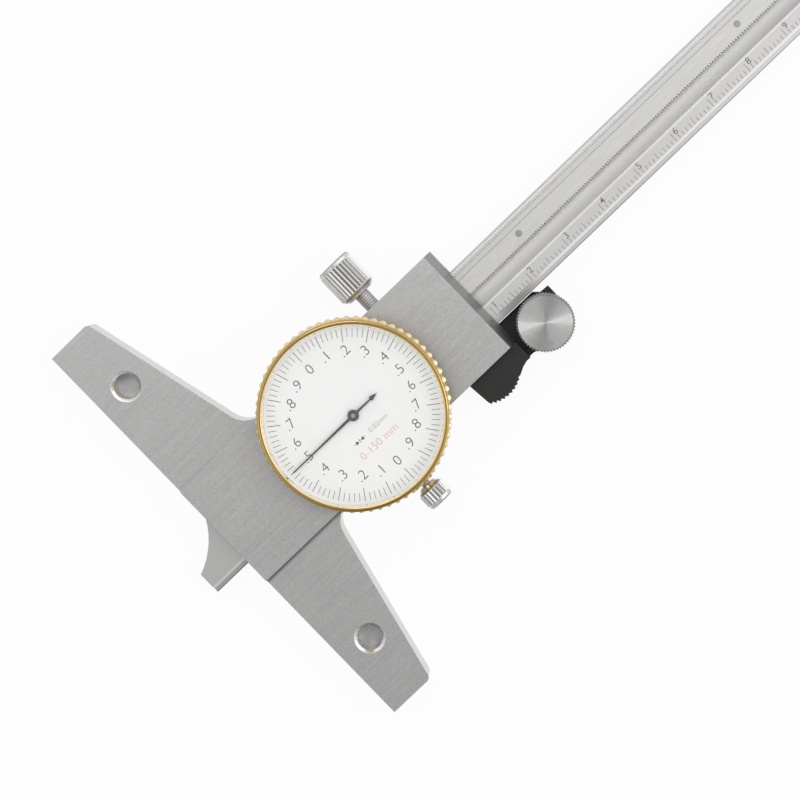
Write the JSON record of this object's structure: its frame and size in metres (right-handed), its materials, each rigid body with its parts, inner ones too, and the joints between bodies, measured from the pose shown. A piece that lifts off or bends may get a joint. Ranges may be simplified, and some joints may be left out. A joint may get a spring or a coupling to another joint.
{
  "type": "dial depth gauge",
  "caption": "Dial depth gauge: wide measuring base, sliding depth beam with rack, round dial with pointer driven by gears, lock screw, bezel clamp and thumb roller.",
  "frame": {"origin": "middle of the measuring face's length, where it meets the gauge's flat back", "axes": "+Y along the beam away from its tip, +X across the base to the thumb roller's side, +Z out of the dial"},
  "size_m": [0.1, 0.23, 0.0178],
  "materials": {
    "frame_steel": "fine-ground satin steel, grain along the beam",
    "cover_steel": "rolled satin steel plate",
    "screw_steel": "small turned steel fasteners",
    "beam_steel": "satin hardened steel with an etched scale",
    "rack_steel": "satin steel rack strip",
    "knob_steel": "bright knurled steel",
    "roller_steel": "face-turned bright steel",
    "spring_steel": "blued spring steel",
    "brass": "turned brass",
    "gold": "polished gold-coloured plating",
    "dial_white": "smooth white dial lacquer",
    "black_lacquer": "black lacquered metal",
    "black_plastic": "matte black moulded plastic",
    "crystal": "clear flat dial glass"
  },
  "bodies": {
    "body": {"frame": "frame_steel", "back_cover": "cover_steel", "back_cover_screws": "screw_steel", "gib_strip": "brass", "gib_screws": "screw_steel", "dial_housing": "gold", "housing_screws": "screw_steel", "movement_plate": "brass", "movement_screws": "screw_steel", "bridge_pillars": "brass", "gear_bridge": "brass", "bridge_screws": "screw_steel", "bearing_bushes": "brass", "hairspring_stud": "brass", "bezel_retaining_ring": "screw_steel", "thumb_grip": "black_plastic", "thumb_grip_screws": "screw_steel"},
    "beam": {"beam": "beam_steel", "rack": "rack_steel", "rack_rivets": "screw_steel", "stop_screw": "screw_steel"},
    "drive": {"rack_pinion": "brass", "drive_arbor": "screw_steel", "drive_wheel": "brass"},
    "needle": {"centre_pinion": "screw_steel", "pointer": "black_lacquer", "pointer_hub": "black_lacquer"},
    "takeup": {"takeup_arbor": "screw_steel", "takeup_wheel": "brass", "hairspring": "spring_steel"},
    "bezel": {"bezel": "gold", "crystal": "crystal", "dial_face": "dial_white", "crystal_gasket": "dial_white"},
    "lock_shoe": {"lock_pad": "brass"},
    "lock_knob": {"lock_screw": "knob_steel"},
    "clamp_shoe": {"clamp_pad": "brass"},
    "clamp_knob": {"bezel_clamp_screw": "knob_steel"},
    "roller": {"thumb_roller": "roller_steel", "roller_clip": "screw_steel"}
  },
  "joints": [
    {"name": "beam_slide", "type": "slide", "parent": "body", "child": "beam", "axis": [0, -1, 0], "range_m": [-0.0095, 0.1405]},
    {"name": "drive_spin", "type": "hinge", "parent": "body", "child": "drive", "pos_m": [0.001, 0.04507, 0.01], "axis": [0, 0, 1], "range_deg": [-350, 5065]},
    {"name": "pointer_spin", "type": "hinge", "parent": "body", "child": "needle", "pos_m": [0.00035, 0.037, 0.015], "axis": [0, 0, 1], "range_deg": [-25295, 1715]},
    {"name": "takeup_spin", "type": "hinge", "parent": "body", "child": "takeup", "pos_m": [-0.0003, 0.02893, 0.01], "axis": [0, 0, 1], "range_deg": [-350, 5065]},
    {"name": "roller_spin", "type": "hinge", "parent": "body", "child": "roller", "pos_m": [0.01384, 0.07705, 0.004], "axis": [0, 0, 1], "range_deg": [-100, 1350]},
    {"name": "bezel_turn", "type": "hinge", "parent": "body", "child": "bezel", "pos_m": [0.00035, 0.037, 0.015], "axis": [0, 0, 1], "continuous": true},
    {"name": "lock_pad_slide", "type": "slide", "parent": "body", "child": "lock_shoe", "axis": [-1, 0, 0], "range_m": [0, 0.0005]},
    {"name": "lock_screw_turn", "type": "hinge", "parent": "lock_shoe", "child": "lock_knob", "pos_m": [-0.016, 0.05415, 0.0042], "axis": [-1, 0, 0], "range_deg": [0, 360]},
    {"name": "clamp_pad_slide", "type": "slide", "parent": "body", "child": "clamp_shoe", "axis": [1, 0, 0], "range_m": [0, 0.0005]},
    {"name": "clamp_screw_turn", "type": "hinge", "parent": "clamp_shoe", "child": "clamp_knob", "pos_m": [0.0205, 0.0375, 0.011], "axis": [1, 0, 0], "range_deg": [0, 360]}
  ],
  "couplings": [
    {"joint": "drive_spin", "follows": "beam_slide", "rad_per_m": 628.32},
    {"joint": "pointer_spin", "follows": "beam_slide", "rad_per_m": -3141.6},
    {"joint": "takeup_spin", "follows": "beam_slide", "rad_per_m": 628.32},
    {"joint": "roller_spin", "follows": "beam_slide", "rad_per_m": 166.67},
    {"joint": "lock_screw_turn", "follows": "lock_pad_slide", "rad_per_m": 12566},
    {"joint": "clamp_screw_turn", "follows": "clamp_pad_slide", "rad_per_m": 12566}
  ]
}
